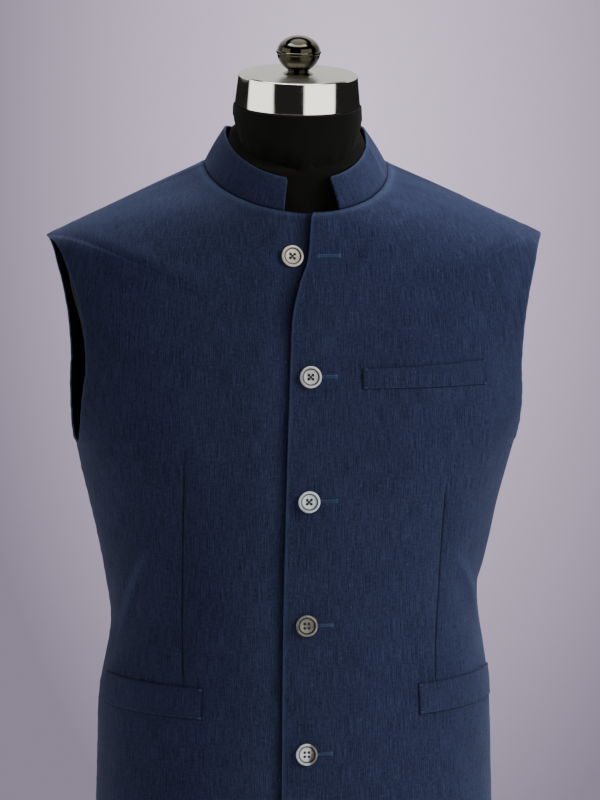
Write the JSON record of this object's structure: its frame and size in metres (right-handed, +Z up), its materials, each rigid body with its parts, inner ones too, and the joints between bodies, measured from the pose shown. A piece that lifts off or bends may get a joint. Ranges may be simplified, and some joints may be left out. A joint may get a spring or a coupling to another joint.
{
  "type": "nehru jacket on a limbless dress form",
  "caption": "Sleeveless stand-collar jacket buttoned on a limbless dress form with a neck cap, knob, pole and round foot.",
  "frame": {"origin": "on the floor under the middle of the stand's foot", "axes": "+Z up, the jacket's front faces -Y, and the wearer's left is +X"},
  "size_m": [0.461, 0.32, 1.1886],
  "materials": {
    "navy_cloth": "matt navy slub linen, fine vertical streaks and a soft sheen at grazing angles",
    "button_shell": "polished grey-white shell",
    "form_jersey": "matt black jersey cover",
    "cap_chrome": "polished chrome",
    "stand_steel": "satin steel"
  },
  "bodies": {
    "root": {"front_left": "navy_cloth", "front_right": "navy_cloth", "back_left": "navy_cloth", "back_right": "navy_cloth", "collar": "navy_cloth", "welt_chest": "navy_cloth", "welt_left": "navy_cloth", "welt_right": "navy_cloth", "button_1": "button_shell", "button_2": "button_shell", "button_3": "button_shell", "button_4": "button_shell", "button_5": "button_shell", "form_torso": "form_jersey", "neck_cap": "cap_chrome", "knob": "cap_chrome", "pole": "stand_steel", "base": "stand_steel"}
  },
  "joints": []
}
